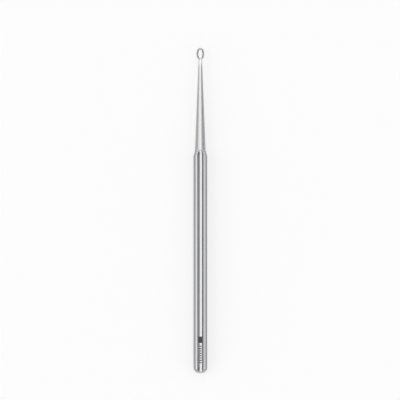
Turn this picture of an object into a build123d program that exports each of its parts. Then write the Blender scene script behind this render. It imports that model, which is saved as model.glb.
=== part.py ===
"""Straight ear curette: an octagonal bar turned down to a long taper that ends in an open oval loop.

It is one piece of stainless steel. The instrument lies on one flat of its handle, with +Y running
from the butt to the loop and +Z up. The loop lies level, with its bevelled face up.
The origin is on the surface that the handle rests on, under the middle of the overall length.
Sizes are in millimetres. A station is a distance along the axis, measured from the butt.
"""

import os
from math import acos, atan2, cos, degrees, pi, radians, sin, tan

from build123d import *

# Bar stock and handle
OVERALL_LENGTH = 165.0
BAR_SIDES = 8
BAR_ACROSS_FLATS = 6.85
BAR_EDGE_RADIUS = 0.3
HANDLE_LENGTH = 112.0

# Turned ends of the handle: half ellipses, just wide enough to clear the corners of the bar
DOME_CLEARANCE = 0.06
DOME_DEPTH = 4.9
BUTT_FLAT_DIAMETER = 2.6
BUTT_EDGE_RADIUS = 0.3

# Round tapered shank
SHANK_BASE_DIAMETER = 5.2
SHANK_BASE_FILLET = 0.8
SHANK_TIP_DIAMETER = 1.9

# Flattened neck between the shank and the loop
NECK_LENGTH = 1.65
NECK_BLEND_LENGTH = 1.3
NECK_BLEND_STEPS = 4
NECK_WIDTH = 1.6
NECK_CROTCH_FILLET = 0.5

# Open loop: an oval of four tangent arcs, rounded outside and bevelled inside from its front face
LOOP_LENGTH = 5.95
LOOP_WIDTH = 3.85
LOOP_SIDE_RADIUS = 6.0
LOOP_WALL = 0.9
LOOP_THICKNESS = 1.25
LOOP_EDGE_RADIUS = 0.36
LOOP_FRONT_RIM = 0.12
LOOP_BEVEL_ANGLE = 35.0
LOOP_INNER_EDGE_RADIUS = 0.12

apothem = BAR_ACROSS_FLATS / 2
dome_radius = apothem / cos(pi / BAR_SIDES) + DOME_CLEARANCE
butt_radius = BUTT_FLAT_DIAMETER / 2
base_radius = SHANK_BASE_DIAMETER / 2
tip_radius = SHANK_TIP_DIAMETER / 2
loop_root = OVERALL_LENGTH - LOOP_LENGTH
loop_centre = OVERALL_LENGTH - LOOP_LENGTH / 2
shank_tip = loop_root - NECK_LENGTH
blend_end = shank_tip + NECK_BLEND_LENGTH


def dome_angle(radius):
    """Angle of the dome's ellipse, in degrees from its widest section, at this radius."""
    return degrees(acos(radius / dome_radius))


def dome_height(radius):
    """Axial distance from the dome's widest section to the section of this radius."""
    return DOME_DEPTH * sin(radians(dome_angle(radius)))


def bar_stock():
    """Octagonal bar with one flat underneath, as long as the shank reaches."""
    flat_below = 180 / BAR_SIDES
    section = RegularPolygon(apothem, BAR_SIDES, major_radius=False, rotation=flat_below)
    section = fillet(section.vertices(), BAR_EDGE_RADIUS)
    return extrude(Plane.XZ * section, shank_tip, dir=(0, 1, 0))


def turned_shape():
    """Everything that the lathe leaves: the two domes, their eased edges and the long taper."""
    butt_widest = dome_height(butt_radius)
    front_widest = HANDLE_LENGTH - dome_height(base_radius)
    butt_turn = dome_angle(butt_radius)
    front_turn = dome_angle(base_radius)
    butt_arc = EllipticalCenterArc(
        (0, butt_widest), dome_radius, DOME_DEPTH, -butt_turn, arc_size=butt_turn
    )
    front_arc = EllipticalCenterArc(
        (0, front_widest), dome_radius, DOME_DEPTH, 0, arc_size=front_turn
    )
    outline = Curve() + [
        Line((0, 0), butt_arc @ 0),
        butt_arc,
        Line(butt_arc @ 1, front_arc @ 0),
        front_arc,
        Polyline(front_arc @ 1, (tip_radius, shank_tip), (0, shank_tip), (0, 0)),
    ]
    turned = revolve(make_face(outline.edges()), Axis.Y)
    root_edge = turned.edges().sort_by_distance((base_radius, HANDLE_LENGTH, 0))[0]
    turned = fillet(root_edge, SHANK_BASE_FILLET)
    butt_edge = turned.edges().sort_by_distance((butt_radius, 0, 0))[0]
    return fillet(butt_edge, BUTT_EDGE_RADIUS)


def oval(inset):
    """The loop's oval, moved inwards by this much: two end arcs joined by two flatter side arcs."""
    half_width = LOOP_WIDTH / 2 - inset
    half_length = LOOP_LENGTH / 2 - inset
    side_radius = LOOP_SIDE_RADIUS - inset
    end_radius = (2 * side_radius * half_width - half_width**2 - half_length**2) / (
        2 * (side_radius - half_length)
    )
    side_shift = side_radius - half_width
    end_shift = half_length - end_radius
    join_angle = degrees(atan2(end_shift, side_shift))
    right_side = CenterArc((-side_shift, 0), side_radius, -join_angle, 2 * join_angle)
    far_end = CenterArc((0, end_shift), end_radius, join_angle, 180 - 2 * join_angle)
    half = Curve() + [right_side, far_end]
    outline = half + half.rotate(Axis.Z, 180)
    return Pos(0, loop_centre) * make_face(outline.edges())


def loop_and_neck():
    """Flat blank that flows from the neck into the oval, then its rounded edges and its bevel."""
    strip = Pos(0, blend_end) * Rectangle(
        NECK_WIDTH, loop_centre - blend_end, align=(Align.CENTER, Align.MIN)
    )
    blank = strip + oval(0)
    crotches = blank.vertices().sort_by(Axis.Y)[2:4]
    blank = fillet(crotches, NECK_CROTCH_FILLET) - oval(LOOP_WALL)
    body = extrude(blank, LOOP_THICKNESS / 2, both=True)

    front = body.faces().sort_by(Axis.Z)[-1]
    bevel_width = LOOP_WALL - LOOP_EDGE_RADIUS - LOOP_FRONT_RIM
    bevel_depth = bevel_width / tan(radians(LOOP_BEVEL_ANGLE))
    body = chamfer(front.inner_wires()[0].edges(), bevel_width, bevel_depth, reference=front)

    back = body.faces().sort_by(Axis.Z)[0]
    body = fillet(back.inner_wires()[0].edges(), LOOP_INNER_EDGE_RADIUS)

    front = body.faces().sort_by(Axis.Z)[-1]
    back = body.faces().sort_by(Axis.Z)[0]
    outer_edges = front.outer_wire().edges() + back.outer_wire().edges()
    root_edges = outer_edges.sort_by(Axis.Y)[:2]
    return fillet(outer_edges - root_edges, LOOP_EDGE_RADIUS)


def neck_blend():
    """Smooth blend from the round tip of the shank to the flattened neck."""
    sections = [Plane.XZ.offset(-shank_tip) * Circle(tip_radius)]
    for step in range(1, NECK_BLEND_STEPS + 1):
        share = step / NECK_BLEND_STEPS
        flattened = share**2 * (3 - 2 * share)
        width = SHANK_TIP_DIAMETER + (NECK_WIDTH - SHANK_TIP_DIAMETER) * flattened
        thickness = SHANK_TIP_DIAMETER + (LOOP_THICKNESS - SHANK_TIP_DIAMETER) * flattened
        corner = tip_radius + (LOOP_EDGE_RADIUS - tip_radius) * flattened
        station = shank_tip + NECK_BLEND_LENGTH * share
        section = RectangleRounded(width, thickness, corner)
        sections.append(Plane.XZ.offset(-station) * section)
    return loft(sections)


def ear_curette():
    """The whole instrument, moved to lie on its flat with the origin under its middle."""
    handle_and_shank = bar_stock() & turned_shape()
    curette = handle_and_shank + neck_blend() + loop_and_neck()
    return Pos(0, -OVERALL_LENGTH / 2, apothem) * curette


os.makedirs("parts", exist_ok=True)
export_step(ear_curette(), "parts/ear_curette.step")
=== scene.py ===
"""Straight ear curette of satin stainless steel, lying on one flat of its octagonal handle.

The frame gives the instrument's length and the width of its handle. The same form is modelled
here with a finer mesh: a turned handle, on which the flats are ground, a flat blank for the loop,
whose neck is drawn back until it is round, and the long taper between the two. Lengths are in
metres, angles in degrees. A station is a place along the instrument, and an outline is drawn as
distances from the long axis and stations.
"""

from math import atan, atan2, cos, degrees, pi, radians, sin, sqrt, tan

import bmesh
import bpy
from mathutils import Matrix, Vector


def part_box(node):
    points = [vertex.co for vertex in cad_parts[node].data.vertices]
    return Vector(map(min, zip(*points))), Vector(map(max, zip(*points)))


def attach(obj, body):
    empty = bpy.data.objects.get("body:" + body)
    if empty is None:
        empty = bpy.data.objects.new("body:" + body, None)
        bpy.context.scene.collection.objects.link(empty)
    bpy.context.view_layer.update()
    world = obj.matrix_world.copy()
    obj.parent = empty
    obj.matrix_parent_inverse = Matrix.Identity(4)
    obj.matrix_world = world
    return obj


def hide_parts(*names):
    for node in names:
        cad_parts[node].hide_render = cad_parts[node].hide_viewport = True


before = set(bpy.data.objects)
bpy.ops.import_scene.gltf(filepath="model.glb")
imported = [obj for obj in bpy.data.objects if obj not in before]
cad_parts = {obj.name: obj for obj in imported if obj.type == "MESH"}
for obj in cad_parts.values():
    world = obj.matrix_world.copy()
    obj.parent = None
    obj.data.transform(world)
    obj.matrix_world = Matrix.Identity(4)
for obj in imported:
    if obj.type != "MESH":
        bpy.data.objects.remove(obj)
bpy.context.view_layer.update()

cad_low, cad_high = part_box("ear_curette")
MM = 0.001

# Sizes from the frame
BUTT = cad_low.y
TIP = cad_high.y
ACROSS_FLATS = cad_high.z - cad_low.z
APOTHEM = ACROSS_FLATS / 2
AXIS_HEIGHT = cad_low.z + APOTHEM

# Handle: a turned blank with a domed butt and a coned front, just wider than the bar's corners
BAR_SIDES = 8
HANDLE_LENGTH = 113.0 * MM
DOME_CLEARANCE = 0.06 * MM
COLLAR_RADIUS = 2.63 * MM
FRONT_CONE = 18.0

# Flats: slightly crowned, with a thin crease before they roll over at the front and sweep out
# again. What is ground off reaches past both ends of the blank by the overrun.
CROWN_RADIUS = 6.8 * MM
BAR_EDGE_RADIUS = 0.35 * MM
COLLAR_RIM = 0.45 * MM
FRONT_CREASE = 8.0
CREASE_WIDTH = 0.08 * MM
FRONT_ROLL = 24.0
FRONT_ROLL_RADIUS = 2.8 * MM
FRONT_SWEEP = 4.5
FRONT_SWEEP_RADIUS = 5.28 * MM
OVERRUN = 0.3 * MM

# Ellipses at the butt, of the blank and of its flats: how far each falls and reaches, and its turn
BUTT_DOME = (2.9 * MM, 3.45 * MM, 90.0)
BUTT_FLATS = (2.7 * MM, 3.1 * MM, 66.0)

# Shank and neck
SHANK_BASE_RADIUS = 2.62 * MM
SHANK_BASE_FILLET = 0.35 * MM
SHANK_TIP_RADIUS = 1.088 * MM
NECK_LENGTH = 5.35 * MM
NECK_BLEND_LENGTH = 5.0 * MM
NECK_EASE = 0.3
NECK_WIDTH = 1.6 * MM
CROTCH_RADIUS = 0.5 * MM

# Loop
LOOP_LENGTH = 5.95 * MM
LOOP_WIDTH = 3.85 * MM
LOOP_SIDE_RADIUS = 6.0 * MM
LOOP_WALL = 0.9 * MM
LOOP_THICKNESS = 1.25 * MM
LOOP_EDGE_RADIUS = 0.36 * MM
LOOP_FRONT_RIM = 0.12 * MM
LOOP_BEVEL_ANGLE = 35.0
LOOP_INNER_EDGE_RADIUS = 0.12 * MM

# Finishes of the steel, in the order of the piece's materials. Grain and clouds are marks in the
# surface, as how often they repeat across and along the instrument, per metre.
FINISHES = {
    "turned_steel": {
        "level": 0.47,
        "roughness": 0.14,
        "grain": (900, 16000),
        "clouds": (700, 1400),
    },
    "ground_flats": {
        "level": 0.47,
        "roughness": 0.12,
        "grain": (14000, 260),
        "clouds": (1800, 60),
    },
    "honed_bevel": {
        "level": 0.6,
        "roughness": 0.1,
        "grain": (9000, 9000),
        "clouds": (1500, 1500),
    },
}
SLOTS = list(FINISHES)

# Mesh divisions. A quarter turn of the shank is half a side, one corner and half the top.
SIDE_STEPS = 6
CORNER_STEPS = 8
TOP_STEPS = 10
ROUND_STEPS = 2 * SIDE_STEPS + 4 * CORNER_STEPS + 2 * TOP_STEPS
DOME_STEPS = 14
FLAT_STEPS = 8
BAR_EDGE_STEPS = 4
ROLL_STEPS = 10
FILLET_STEPS = 6
SHANK_STEPS = 16
BLEND_STEPS = 16
CROTCH_STEPS = 8
ROOT_STEPS = 8
LOOP_END_STEPS = 28
LOOP_SIDE_STEPS = 12
INNER_EDGE_STEPS = 3

# Limits: how near two corners are one, how short an edge is dropped, how steep an edge stays crisp,
# and how far below level a corner still counts as level
CLOSE = 0.001 * MM
SLIVER = 0.002 * MM
CRISP_ANGLE = 15.0
LEVEL_MARGIN = 0.5

# Stations along the instrument
loop_centre = TIP - LOOP_LENGTH / 2
loop_root = TIP - LOOP_LENGTH
shank_tip = loop_root - NECK_LENGTH
blend_end = shank_tip + NECK_BLEND_LENGTH
shank_base = BUTT + HANDLE_LENGTH

# The oval of the loop is four arcs that run into each other
half_width = LOOP_WIDTH / 2
half_length = LOOP_LENGTH / 2
end_radius = (2 * LOOP_SIDE_RADIUS * half_width - half_width**2 - half_length**2) / (
    2 * (LOOP_SIDE_RADIUS - half_length)
)
side_shift = LOOP_SIDE_RADIUS - half_width
end_shift = half_length - end_radius
join_angle = degrees(atan2(end_shift, side_shift))

# An arc in each crotch touches the side of the neck and the near end of the oval
crotch_x = NECK_WIDTH / 2 + CROTCH_RADIUS
crotch_y = -end_shift - sqrt((end_radius + CROTCH_RADIUS) ** 2 - crotch_x**2)
crotch_turn = degrees(atan2(crotch_y + end_shift, crotch_x))

# Arcs as centre across, centre along from the middle of the loop, turn and steps
far_end = (0, end_shift, 180 - 2 * join_angle, LOOP_END_STEPS)
near_end = (0, -end_shift, 180 - 2 * join_angle, LOOP_END_STEPS)
left_side = (side_shift, 0, 2 * join_angle, LOOP_SIDE_STEPS)
right_side = (-side_shift, 0, 2 * join_angle, LOOP_SIDE_STEPS)
beside_neck = (0, -end_shift, -join_angle - crotch_turn, ROOT_STEPS)
right_crotch = (crotch_x, crotch_y, crotch_turn, CROTCH_STEPS)
left_crotch = (-crotch_x, crotch_y, crotch_turn, CROTCH_STEPS)
oval_arcs = (far_end, left_side, near_end, right_side)
blank_arcs = (
    right_crotch,
    beside_neck,
    right_side,
    far_end,
    left_side,
    beside_neck,
    left_crotch,
)


def bend(start, radius, first, last, steps):
    """Fall and run along an arc, after its start. Its slope goes from a first angle to a last."""
    fall, run = start
    turned = radius if last > first else -radius
    points = []
    for step in range(1, steps + 1):
        slope = radians(first + (last - first) * step / steps)
        lower = fall + turned * (cos(radians(first)) - cos(slope))
        points.append((lower, run + turned * (sin(slope) - sin(radians(first)))))
    return points


# The blank clears the bar's corners, and the fillet runs out where it meets the taper
dome_radius = APOTHEM / cos(pi / BAR_SIDES) + DOME_CLEARANCE
taper_slope = (SHANK_BASE_RADIUS - SHANK_TIP_RADIUS) / (shank_tip - shank_base)
fillet = bend((0, 0), SHANK_BASE_FILLET, FRONT_CONE, degrees(atan(taper_slope)), FILLET_STEPS)
fillet_fall, fillet_run = fillet[-1]
fillet_end = shank_base + (SHANK_BASE_RADIUS - COLLAR_RADIUS + fillet_fall) / taper_slope
collar = fillet_end - fillet_run


def verts_of(parts):
    """The corners among the parts that an operator returns."""
    return [part for part in parts if isinstance(part, bmesh.types.BMVert)]


def edges_between(parts, corners):
    """The edges among the parts that have both their ends among the corners."""
    corners = set(corners)
    edges = [part for part in parts if isinstance(part, bmesh.types.BMEdge)]
    return [edge for edge in edges if corners.issuperset(edge.verts)]


def new_edges(bm, earlier):
    """The edges that weren't there earlier."""
    return [edge for edge in bm.edges if edge not in earlier]


def at_station(parts, station):
    """The edges or faces that lie wholly at one station."""
    return [p for p in parts if all(abs(vert.co.y - station) < CLOSE for vert in p.verts)]


def draw_line(bm, corner, place):
    """Draws a corner out into an edge that ends at a new place. Returns the new corner."""
    grown = bmesh.ops.extrude_vert_indiv(bm, verts=[corner])["verts"][0]
    grown.co = place
    return grown


def draw_arc(bm, corner, centre, axis, angle, steps):
    """Spins a corner round a centre. Returns the corner at the end of the arc."""
    spun = bmesh.ops.spin(bm, geom=[corner], cent=centre, axis=axis, angle=angle, steps=steps)
    return verts_of(spun["geom_last"])[0]


def draw_loop_arcs(bm, corner, arcs):
    """Spins a corner through arcs that follow each other in plan. Returns the last corner."""
    for across, along, turn, steps in arcs:
        centre = (across, loop_centre + along, 0)
        corner = draw_arc(bm, corner, centre, (0, 0, 1), radians(turn), steps)
    return corner


def draw_through(bm, ring, stops, height):
    """Draws a ring on from its own stop, the first, through the others, round the long axis."""
    middle = Matrix.Translation((0, 0, -height))
    for (across, along), (next_across, next_along) in zip(stops, stops[1:]):
        grown = bmesh.ops.extrude_edge_only(bm, edges=ring)["geom"]
        fresh = verts_of(grown)
        size = Matrix.Diagonal((next_across / across, 1, next_across / across, 1))
        bmesh.ops.transform(bm, matrix=size, space=middle, verts=fresh)
        bmesh.ops.translate(bm, vec=(0, next_along - along, 0), verts=fresh)
        ring = edges_between(grown, fresh)


def blank_outline(bm, inset, height):
    """The open outline round the loop, from one side of the neck to the other, moved inwards."""
    earlier = set(bm.edges)
    root = Vector((NECK_WIDTH / 2 - inset, blend_end, AXIS_HEIGHT + height))
    crotch = Vector((root.x, loop_centre + crotch_y, root.z))
    corner = draw_line(bm, bm.verts.new(root), crotch)
    corner = draw_loop_arcs(bm, corner, blank_arcs)
    draw_line(bm, corner, Vector((-root.x, root.y, root.z)))
    return new_edges(bm, earlier)


def hole_outline(bm, inset, height):
    """The closed oval of the loop, moved inwards."""
    earlier = set(bm.edges)
    start = Matrix.Rotation(radians(join_angle), 3, "Z") @ Vector((LOOP_SIDE_RADIUS - inset, 0, 0))
    middle = Vector((-side_shift, loop_centre, AXIS_HEIGHT + height))
    first = bm.verts.new(middle + start)
    last = draw_loop_arcs(bm, first, oval_arcs)
    bmesh.ops.pointmerge(bm, verts=[first, last], merge_co=first.co)
    return new_edges(bm, earlier)


def bridge(bm, outlines):
    """Joins each outline to the next with a band of faces. Returns the bands in the same order."""
    return [
        bmesh.ops.bridge_loops(bm, edges=near + far)["faces"]
        for near, far in zip(outlines, outlines[1:])
    ]


def outside_levels():
    """Inset and height of the lines round the outside, from the front face to the back face."""
    straight = LOOP_THICKNESS / 2 - LOOP_EDGE_RADIUS
    front = []
    for step in range(CORNER_STEPS + 1):
        angle = radians(90 * step / CORNER_STEPS)
        inset = LOOP_EDGE_RADIUS * (1 - sin(angle))
        front.append((inset, straight + LOOP_EDGE_RADIUS * cos(angle)))
    side = [(0, straight * (1 - 2 * step / SIDE_STEPS)) for step in range(1, SIDE_STEPS)]
    back = [(inset, -height) for inset, height in reversed(front)]
    return front + side + back


def hole_levels():
    """Inset and height of the lines round the hole: front bevel, straight wall, rounded back."""
    face = LOOP_THICKNESS / 2
    bevel_width = LOOP_WALL - LOOP_EDGE_RADIUS - LOOP_FRONT_RIM
    bevel_depth = bevel_width / tan(radians(LOOP_BEVEL_ANGLE))
    levels = [(LOOP_WALL - bevel_width, face), (LOOP_WALL, face - bevel_depth)]
    for step in range(INNER_EDGE_STEPS + 1):
        angle = radians(90 * step / INNER_EDGE_STEPS)
        inset = LOOP_WALL - LOOP_INNER_EDGE_RADIUS * (1 - cos(angle))
        levels.append((inset, LOOP_INNER_EDGE_RADIUS * (1 - sin(angle)) - face))
    return levels


def make_loop(bm):
    """The flat blank of the loop, closed all round except at the neck."""
    outside = [blank_outline(bm, inset, height) for inset, height in outside_levels()]
    hole = [hole_outline(bm, inset, height) for inset, height in hole_levels()]
    for outline, oval in ((outside[0], hole[0]), (outside[-1], hole[-1])):
        corners = {vert for edge in outline for vert in edge.verts}
        ends = [vert for vert in bm.verts if vert in corners and len(vert.link_edges) == 1]
        earlier = set(bm.edges)
        neck_edge = bm.edges.new(ends)
        bmesh.ops.subdivide_edges(bm, edges=[neck_edge], cuts=TOP_STEPS - 1)
        border = outline + new_edges(bm, earlier) + oval
        bmesh.ops.triangle_fill(bm, edges=border, use_beauty=True)
    bridge(bm, outside)
    for face in bridge(bm, hole)[0]:
        face.material_index = SLOTS.index("honed_bevel")


def turn_of(vert):
    """Where a corner is round the long axis, from level at the right up to a full turn."""
    turn = atan2(vert.co.z - AXIS_HEIGHT, vert.co.x)
    return (turn + radians(LEVEL_MARGIN)) % (2 * pi)


def draw_neck_back(bm):
    """Draws the open end of the neck back, ring by ring, until it has the shank's round section."""
    ring = [edge for edge in bm.edges if edge.is_boundary]
    corners = {vert for edge in ring for vert in edge.verts}
    flat = [vert.co.copy() for vert in sorted(corners, key=turn_of)]
    for step in range(1, BLEND_STEPS + 1):
        share = step / BLEND_STEPS
        rounded = share + NECK_EASE * (share**2 * (3 - 2 * share) - share)
        grown = bmesh.ops.extrude_edge_only(bm, edges=ring)["geom"]
        fresh = sorted(verts_of(grown), key=turn_of)
        for index, vert in enumerate(fresh):
            turn = 2 * pi * index / ROUND_STEPS
            circle = Vector((cos(turn), 0, sin(turn))) * SHANK_TIP_RADIUS
            circle += Vector((0, blend_end, AXIS_HEIGHT))
            vert.co = flat[index].lerp(circle, rounded)
            vert.co.y -= NECK_BLEND_LENGTH * share
        ring = edges_between(grown, fresh)


def butt_end(widest, ellipse, steps):
    """The outline of the butt as it widens, as part of an ellipse."""
    fall, reach, turn = ellipse
    outline = []
    for step in range(steps + 1):
        angle = radians(turn) * (1 - step / steps)
        outline.append((widest - fall * (1 - cos(angle)), BUTT + reach - reach * sin(angle)))
    return outline


def make_blank(bm):
    """Turns the handle from a half outline: a domed butt, a coned front, both ends closed."""
    outline = butt_end(dome_radius, BUTT_DOME, DOME_STEPS)
    cone_run = (dome_radius - COLLAR_RADIUS) / tan(radians(FRONT_CONE))
    outline += [(dome_radius, collar - cone_run), (COLLAR_RADIUS, collar)]
    first, *others = [Vector((across, along, AXIS_HEIGHT)) for across, along in outline]
    corner = bm.verts.new(first)
    for place in others:
        corner = draw_line(bm, corner, place)
    bmesh.ops.spin(
        bm,
        geom=bm.edges[:] + bm.verts[:],
        cent=(0, 0, AXIS_HEIGHT),
        axis=(0, 1, 0),
        angle=2 * pi,
        steps=ROUND_STEPS,
        use_merge=True,
    )
    for open_end in (BUTT, collar):
        bmesh.ops.edgeloop_fill(bm, edges=at_station(bm.edges, open_end))


def draw_section(bm):
    """Draws the bar's section: eight crowned flats that run into eight rounded corners."""
    half_side = pi / BAR_SIDES
    crown_shift = CROWN_RADIUS - APOTHEM
    corner_reach = sqrt((CROWN_RADIUS - BAR_EDGE_RADIUS) ** 2 - (crown_shift * sin(half_side)) ** 2)
    corner_reach -= crown_shift * cos(half_side)
    lean = atan2(corner_reach * sin(half_side), corner_reach * cos(half_side) + crown_shift)
    start = Vector((CROWN_RADIUS * cos(lean) - crown_shift, 0, -CROWN_RADIUS * sin(lean)))
    first = last = bm.verts.new(start)
    for side in range(BAR_SIDES):
        flat = (2 * side * half_side, -crown_shift, 2 * lean, FLAT_STEPS)
        edge = ((2 * side + 1) * half_side, corner_reach, 2 * (half_side - lean), BAR_EDGE_STEPS)
        for turn, reach, angle, steps in (flat, edge):
            centre = (reach * cos(turn), 0, reach * sin(turn))
            last = draw_arc(bm, last, centre, (0, -1, 0), angle, steps)
    bmesh.ops.pointmerge(bm, verts=[first, last], merge_co=first.co)


def front_roll():
    """Fall and run of the flats at the front, where they roll over and sweep out again."""
    crease = bend((0, 0), FRONT_ROLL_RADIUS, 0, FRONT_CREASE, 1)
    roll = bend(crease[-1], FRONT_ROLL_RADIUS, FRONT_CREASE, FRONT_ROLL, ROLL_STEPS)
    sweep = bend(roll[-1], FRONT_SWEEP_RADIUS, FRONT_ROLL, FRONT_SWEEP, ROLL_STEPS)
    return crease + roll + sweep


def flats_outline():
    """The outline of the flats, from behind the butt to beyond the collar."""
    outline = butt_end(APOTHEM, BUTT_FLATS, ROLL_STEPS)
    most_fall, reach, turn = BUTT_FLATS
    steepest = most_fall / reach * tan(radians(turn))
    behind = outline[0][1] - BUTT + OVERRUN
    outline.insert(0, (outline[0][0] - behind * steepest, BUTT - OVERRUN))
    front = front_roll()
    start = collar - COLLAR_RIM - front[-1][1]
    outline.append((APOTHEM, start + front[0][1] - CREASE_WIDTH))
    outline += [(APOTHEM - fall, start + run) for fall, run in front]
    outline.append((outline[-1][0], collar + OVERRUN))
    return outline


def make_flats(bm):
    """Draws the section out along the handle; every face is one of the ground flats."""
    outline = flats_outline()
    depth, station = outline[0]
    draw_section(bm)
    section = bm.edges[:]
    size = Matrix.Diagonal((depth / APOTHEM, 1, depth / APOTHEM, 1))
    bmesh.ops.transform(bm, matrix=size, verts=bm.verts)
    bmesh.ops.translate(bm, vec=(0, station, 0), verts=bm.verts)
    draw_through(bm, section, outline, 0)
    for open_end in (station, outline[-1][1]):
        bmesh.ops.edgeloop_fill(bm, edges=at_station(bm.edges, open_end))
    bmesh.ops.translate(bm, vec=(0, 0, AXIS_HEIGHT), verts=bm.verts)
    for face in bm.faces:
        face.material_index = SLOTS.index("ground_flats")


def new_piece(name, bm, materials):
    """A mesh object with its materials, from a bmesh."""
    mesh = bpy.data.meshes.new(name)
    bm.to_mesh(mesh)
    bm.free()
    for material in materials:
        mesh.materials.append(material)
    piece = bpy.data.objects.new(name, mesh)
    bpy.context.scene.collection.objects.link(piece)
    return piece


def ground_handle(materials):
    """The turned blank with its flats ground: what the blank and the drawn-out section share."""
    shapes = []
    for name, make in (("blank", make_blank), ("flats", make_flats)):
        bm = bmesh.new()
        make(bm)
        bmesh.ops.recalc_face_normals(bm, faces=bm.faces)
        shapes.append(new_piece(name, bm, materials))
    blank, flats = shapes
    grind = blank.modifiers.new("grind", "BOOLEAN")
    grind.operation = "INTERSECT"
    grind.solver = "EXACT"
    grind.object = flats
    ground = blank.evaluated_get(bpy.context.evaluated_depsgraph_get())
    bm = bmesh.new()
    bm.from_mesh(ground.to_mesh())
    ground.to_mesh_clear()
    for shape in shapes:
        bpy.data.meshes.remove(shape.data)
    return bm


def draw_shank(bm):
    """Draws the front end of the handle out into the fillet and the long taper."""
    end = at_station(bm.faces, collar)
    ring = list(end[0].edges)
    bmesh.ops.delete(bm, geom=end, context="FACES_ONLY")
    outline = [(COLLAR_RADIUS, collar)]
    outline += [(COLLAR_RADIUS - fall, collar + run) for fall, run in fillet]
    across, along = outline[-1]
    for step in range(1, SHANK_STEPS + 1):
        share = step / SHANK_STEPS
        thinner = across + (SHANK_TIP_RADIUS - across) * share
        outline.append((thinner, along + (shank_tip - along) * share))
    draw_through(bm, ring, outline, AXIS_HEIGHT)


def make_curette(materials):
    """The whole instrument in one mesh, smooth except where finishes or steep faces meet."""
    bm = ground_handle(materials)
    bmesh.ops.dissolve_degenerate(bm, edges=bm.edges, dist=SLIVER)
    make_loop(bm)
    draw_neck_back(bm)
    draw_shank(bm)
    bmesh.ops.remove_doubles(bm, verts=bm.verts, dist=CLOSE)
    bmesh.ops.recalc_face_normals(bm, faces=bm.faces)
    for face in bm.faces:
        face.smooth = True
    for edge in bm.edges:
        slots_beside = {face.material_index for face in edge.link_faces}
        edge.smooth = len(slots_beside) == 1 and edge.calc_face_angle() < radians(CRISP_ANGLE)
    piece = new_piece("curette", bm, materials)
    even = piece.modifiers.new("even_shading", "WEIGHTED_NORMAL")
    even.keep_sharp = True
    return piece


class Nodes:
    """Adds shader nodes to one tree and links them."""

    def __init__(self, tree):
        self.tree = tree
        tree.nodes.clear()

    def add(self, kind, inputs=None, **settings):
        """Adds a node. An input is a value or another node's output."""
        node = self.tree.nodes.new("ShaderNode" + kind)
        for name, value in settings.items():
            setattr(node, name, value)
        for name, value in (inputs or {}).items():
            socket = node.inputs[name]
            if isinstance(value, bpy.types.NodeSocket):
                self.tree.links.new(value, socket)
            else:
                socket.default_value = value
        return node

    def math(self, operation, first, second=0.0, third=0.0):
        """Works out one value from up to three."""
        node = self.add("Math", {0: first, 1: second, 2: third}, operation=operation)
        return node.outputs[0]

    def spread(self, value, low, high, to_low=0.0, to_high=1.0):
        """Maps a value smoothly from one range to another."""
        span = {"From Min": low, "From Max": high, "To Min": to_low, "To Max": to_high}
        node = self.add("MapRange", {"Value": value, **span}, interpolation_type="SMOOTHSTEP")
        return node.outputs["Result"]

    def scaled(self, value, mask, factor):
        """The value, multiplied by a factor where the mask is 1."""
        return self.math("MULTIPLY", value, self.spread(mask, 0.0, 1.0, 1.0, factor))

    def blend(self, share, first, second, kind="FLOAT"):
        """Goes from the first value or colour to the second as the share goes from 0 to 1."""
        node = self.add("Mix", {"Factor": share, "A": first, "B": second}, data_type=kind)
        return node.outputs["Result"]

    def ramp(self, value, stops):
        """A colour ramp of greys, given as places and levels."""
        node = self.add("ValToRGB", {"Fac": value})
        elements = node.color_ramp.elements
        while len(elements) > 1:
            elements.remove(elements[0])
        for number, (place, level) in enumerate(stops):
            element = elements[0] if number == 0 else elements.new(place)
            element.position = place
            element.color = (level, level, level, 1)
        return node.outputs["Color"]

    def streaks(self, place, repeats, detail):
        """Noise with its own repeats across and along the instrument."""
        across, along = repeats
        stretched = self.add("Mapping", {"Vector": place, "Scale": (across, along, across)})
        inputs = {"Vector": stretched.outputs[0], "Scale": 1.0, "Detail": detail}
        return self.add("TexNoise", inputs).outputs["Fac"]


# Studio: a soft sky of strip lights and dark strips between them, over a pale floor. The bands run
# along the instrument, as degrees from straight up towards the right, and levels of light. The
# flats reflect the first set. The taper leans towards its tip, so it reflects the second, which
# takes over and gives way again as a direction in the sky points further along the instrument.
FLAT_BANDS = (
    (-90, 0.5),
    (-85, 1.1),
    (-79, 1.95),
    (-68, 2.0),
    (-60, 1.35),
    (-34, 1.35),
    (-24, 0.25),
    (-15, 0.25),
    (-10, 0.58),
    (-4, 0.66),
    (1, 1.92),
    (11, 2.15),
    (14.2, 0.02),
    (24, 0.02),
    (32, 0.95),
    (58, 1.0),
    (66, 1.85),
    (76, 1.6),
    (83, 1.3),
    (90, 0.3),
)
TAPER_BANDS = (
    (-90, 0.15),
    (-80, 0.2),
    (-73, 0.4),
    (-62, 0.8),
    (-48, 1.3),
    (-28, 2.03),
    (7, 2.03),
    (18, 1.65),
    (31, 1.35),
    (55, 0.65),
    (68, 0.2),
    (80, 0.05),
    (90, 0.05),
)
TAPER_BANDS_START = (0.03, 0.06)
TAPER_BANDS_END = (0.18, 0.28)
SKY_STRENGTH = 2.15

# Low down the sky fades to the horizon's level, and under it the world is as pale as the floor
HORIZON = 1.0
HORIZON_FADE = (0.06, 0.02)
FLOOR_LEVEL = 0.98

# The camera and reflections see a share of plain white in the floor, and the rest shows the shadow
FLOOR_WHITE = 0.6
FLOOR_COLOUR = (0.96, 0.96, 0.96, 1)
WHITE = (1, 1, 1, 1)
FLOOR_REACH = 3.0
FLOOR_GAP = 0.02 * MM


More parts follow.
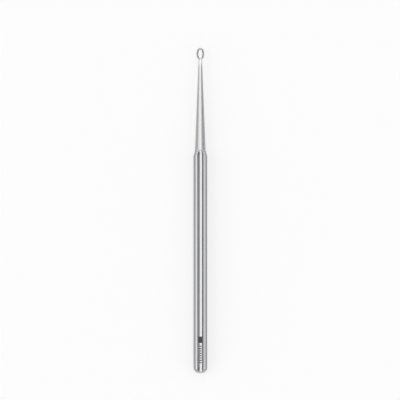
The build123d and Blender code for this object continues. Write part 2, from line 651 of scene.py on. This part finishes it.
def make_sky():
    """Lights the scene with the soft sky."""
    world = bpy.data.worlds.new("studio")
    bpy.context.scene.world = world
    world.use_nodes = True
    sky = Nodes(world.node_tree)
    way = sky.add("TexCoord").outputs["Generated"]
    parts = sky.add("SeparateXYZ", {"Vector": way}).outputs
    lean = sky.math("ARCSINE", parts["X"])
    place = sky.math("MULTIPLY_ADD", lean, 1 / (2 * pi), 0.5)

    def bands(levels):
        stops = [(0.5 + angle / 360, level / SKY_STRENGTH) for angle, level in levels]
        return sky.ramp(place, stops)

    def grey(level):
        return (level / SKY_STRENGTH,) * 3 + (1,)

    started = sky.spread(parts["Y"], *TAPER_BANDS_START)
    going = sky.spread(parts["Y"], *TAPER_BANDS_END, 1.0, 0.0)
    taper_share = sky.math("MULTIPLY", started, going)
    colour = sky.blend(taper_share, bands(FLAT_BANDS), bands(TAPER_BANDS), "RGBA")
    low = sky.spread(parts["Z"], *HORIZON_FADE)
    colour = sky.blend(low, colour, grey(HORIZON), "RGBA")
    below = sky.math("LESS_THAN", parts["Z"], 0.0)
    colour = sky.blend(below, colour, grey(FLOOR_LEVEL), "RGBA")
    light = sky.add("Background", {"Color": colour, "Strength": SKY_STRENGTH})
    sky.add("OutputWorld", {"Surface": light.outputs[0]})


def paper_material():
    """Matt paper that looks nearly white, and keeps a soft shadow."""
    material = bpy.data.materials.new("floor_paper")
    material.use_nodes = True
    paper = Nodes(material.node_tree)
    matt = paper.add("BsdfDiffuse", {"Color": FLOOR_COLOUR})
    white = paper.add("Emission", {"Color": WHITE, "Strength": 1.0})
    rays = paper.add("LightPath").outputs
    seen = paper.math("MAXIMUM", rays["Is Camera Ray"], rays["Is Glossy Ray"])
    seen = paper.math("MAXIMUM", seen, rays["Is Transmission Ray"])
    share = paper.math("MULTIPLY", seen, FLOOR_WHITE)
    shader = paper.add("MixShader", {0: share, 1: matt.outputs[0], 2: white.outputs[0]})
    paper.add("OutputMaterial", {"Surface": shader.outputs[0]})
    return material


def make_floor():
    """Lays the floor just under the instrument."""
    bm = bmesh.new()
    bmesh.ops.create_grid(bm, x_segments=1, y_segments=1, size=FLOOR_REACH)
    bmesh.ops.translate(bm, vec=(0, 0, cad_low.z - FLOOR_GAP), verts=bm.verts)
    floor = new_piece("floor", bm, [paper_material()])


# Camera: the width that it sees, the place that it looks down on and its height
VIEW_WIDTH = 203.17 * MM
VIEW_MIDDLE = (-0.18 * MM, 5.34 * MM)
CAMERA_HEIGHT = 0.4


def make_camera():
    """Looks straight down, with the loop at the top of the picture."""
    lens = bpy.data.cameras.new("camera")
    lens.type = "ORTHO"
    lens.ortho_scale = VIEW_WIDTH
    camera = bpy.data.objects.new("camera", lens)
    camera.location = (*VIEW_MIDDLE, CAMERA_HEIGHT)
    bpy.context.scene.collection.objects.link(camera)
    bpy.context.scene.camera = camera


# Grain and clouds change the steel's tone and roughness by a share, and the grain is a shallow
# relief. The steel is a little bluer than grey, and darker where it is seen edge on.
TONE_SWING = 0.16
ROUGHNESS_SWING = 0.5
GRAIN_DETAIL = 3.0
CLOUD_DETAIL = 2.0
GRAIN_STRENGTH = 0.25
GRAIN_DEPTH = 0.002 * MM
COOL_TINT = 1.02
EDGE_TINT = (0.4, 0.4, 0.41, 1)

# The shank is painted lighter towards its tip, a painted highlight
TIP_HIGHLIGHT_FROM = TIP - 37.5 * MM
TIP_HIGHLIGHT_TO = TIP - 12.5 * MM
TIP_PAINTED_HIGHLIGHT = 1.06

# The loop's outside is painted darker than the turned shank, a painted shade, and is rougher
LOOP_SHADE_AND_ROUGHNESS_FROM = TIP - 5.7 * MM
LOOP_SHADE_AND_ROUGHNESS_TO = TIP - 3.9 * MM
LOOP_PAINTED_SHADE = 0.68
LOOP_ROUGHNESS = 0.14

# The corners get painted shade, darker bands along them, and are a little rougher. The shade starts
# and ends at shares of a side's turn from the middle of its flat. The very end of the butt is
# painted lighter, a painted highlight, and has no corner shade.
CORNER_START = 0.24
CORNER_END = 0.48
CORNER_PAINTED_SHADE = 0.42
CORNER_ROUGHNESS = 0.1
BUTT_HIGHLIGHT_FROM = BUTT + 1.3 * MM
BUTT_HIGHLIGHT_TO = BUTT + 0.2 * MM
BUTT_PAINTED_HIGHLIGHT = 1.2

# Plain etched marks on the upper flat near the butt: one block, then a row of short bars
MARK_BLOCK_HALF_WIDTH = 1.05 * MM
MARK_BAR_HALF_WIDTH = 0.65 * MM
MARK_BLOCK = (BUTT + 15.2 * MM, BUTT + 18.5 * MM)
MARK_BARS = (BUTT + 4.9 * MM, BUTT + 13.9 * MM)
MARK_BAR_PITCH = 1.2 * MM
MARK_BAR_LENGTH = 0.6 * MM
MARK_BLUR = 0.06 * MM
MARK_LEVEL = 0.07
MARK_ROUGHNESS = 0.4


def paint_tip_highlight_and_loop_shade(steel, station, shade, rough):
    """Paints the shank lighter towards its tip, and paints shade on the loop's outside, which is
    rougher.
    """
    painted_tip_highlight = steel.spread(station, TIP_HIGHLIGHT_FROM, TIP_HIGHLIGHT_TO, 1.0, TIP_PAINTED_HIGHLIGHT)
    loop_shade_and_roughness = steel.spread(station, LOOP_SHADE_AND_ROUGHNESS_FROM, LOOP_SHADE_AND_ROUGHNESS_TO)
    shade = steel.scaled(steel.math("MULTIPLY", shade, painted_tip_highlight), loop_shade_and_roughness, LOOP_PAINTED_SHADE)
    return shade, steel.math("MULTIPLY_ADD", loop_shade_and_roughness, LOOP_ROUGHNESS, rough)


def paint_corner_shade_and_butt_highlight(steel, parts, shade, rough):
    """Paints the end of the butt lighter, and paints shade along the other corners, which are
    rougher.
    """
    painted_butt_highlight = steel.spread(parts["Y"], BUTT_HIGHLIGHT_FROM, BUTT_HIGHLIGHT_TO)
    shade = steel.scaled(shade, painted_butt_highlight, BUTT_PAINTED_HIGHLIGHT)
    height = steel.math("SUBTRACT", parts["Z"], AXIS_HEIGHT)
    turn = steel.math("ARCTAN2", height, parts["X"])
    side = steel.math("MULTIPLY_ADD", turn, BAR_SIDES / (2 * pi), 0.5)
    across = steel.math("SUBTRACT", steel.math("FLOORED_MODULO", side, 1.0), 0.5)
    corner = steel.spread(steel.math("ABSOLUTE", across), CORNER_START, CORNER_END)
    corner_shade_and_roughness = steel.math("MULTIPLY", corner, steel.math("SUBTRACT", 1.0, painted_butt_highlight))
    shade = steel.scaled(shade, corner_shade_and_roughness, CORNER_PAINTED_SHADE)
    return shade, steel.math("MULTIPLY_ADD", corner_shade_and_roughness, CORNER_ROUGHNESS, rough)


def between(steel, value, low, high):
    """Mask that is 1 between two limits, with slightly soft ends."""
    started = steel.spread(value, low, low + MARK_BLUR)
    return steel.math("MULTIPLY", started, steel.spread(value, high - MARK_BLUR, high, 1.0, 0.0))


def etched_marks(steel, parts):
    """Mask of the plain marks on the upper flat."""
    off_middle = steel.math("ABSOLUTE", parts["X"])

    def column(half_width):
        return steel.spread(off_middle, half_width - MARK_BLUR, half_width, 1.0, 0.0)

    along = steel.math("SUBTRACT", parts["Y"], MARK_BARS[0])
    along = steel.math("FLOORED_MODULO", along, MARK_BAR_PITCH)
    bars = between(steel, along, 0.0, MARK_BAR_LENGTH)
    bars = steel.math("MULTIPLY", bars, between(steel, parts["Y"], *MARK_BARS))
    bars = steel.math("MULTIPLY", bars, column(MARK_BAR_HALF_WIDTH))
    block = between(steel, parts["Y"], *MARK_BLOCK)
    block = steel.math("MULTIPLY", block, column(MARK_BLOCK_HALF_WIDTH))
    upper = steel.math("GREATER_THAN", parts["Z"], AXIS_HEIGHT)
    return steel.math("MULTIPLY", upper, steel.math("ADD", bars, block))


def steel_material(finish):
    """Steel with one of the instrument's finishes."""
    look = FINISHES[finish]
    material = bpy.data.materials.new(finish)
    material.use_nodes = True
    steel = Nodes(material.node_tree)
    place = steel.add("TexCoord").outputs["Object"]
    parts = steel.add("SeparateXYZ", {"Vector": place}).outputs
    grain = steel.streaks(place, look["grain"], GRAIN_DETAIL)
    clouds = steel.streaks(place, look["clouds"], CLOUD_DETAIL)

    def marked(level, swing):
        value = steel.math("MULTIPLY_ADD", grain, level * swing, level * (1 - swing))
        return steel.math("MULTIPLY_ADD", clouds, level * swing, value)

    shade = marked(look["level"], TONE_SWING)
    rough = marked(look["roughness"], ROUGHNESS_SWING)
    # The turned steel gets a painted highlight towards the tip and painted shade on the loop
    if finish == "turned_steel":
        shade, rough = paint_tip_highlight_and_loop_shade(steel, parts["Y"], shade, rough)
    # The flats get painted shade along their corners and a painted highlight at the butt's end
    if finish == "ground_flats":
        shade, rough = paint_corner_shade_and_butt_highlight(steel, parts, shade, rough)
        etch = etched_marks(steel, parts)
        shade = steel.blend(etch, shade, MARK_LEVEL)
        rough = steel.blend(etch, rough, MARK_ROUGHNESS)
    blue = steel.math("MULTIPLY", shade, COOL_TINT)
    colour = steel.add("CombineColor", {"Red": shade, "Green": shade, "Blue": blue})
    bump = {"Height": grain, "Strength": GRAIN_STRENGTH, "Distance": GRAIN_DEPTH}
    surface = {
        "Base Color": colour.outputs[0],
        "Metallic": 1.0,
        "Roughness": rough,
        "Specular Tint": EDGE_TINT,
        "Normal": steel.add("Bump", bump).outputs[0],
    }
    shader = steel.add("BsdfPrincipled", surface)
    steel.add("OutputMaterial", {"Surface": shader.outputs[0]})
    return material


curette = make_curette([steel_material(finish) for finish in FINISHES])
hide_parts("ear_curette")
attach(curette, "root")
make_sky()
make_floor()
make_camera()
bpy.context.scene.view_settings.view_transform = "Standard"
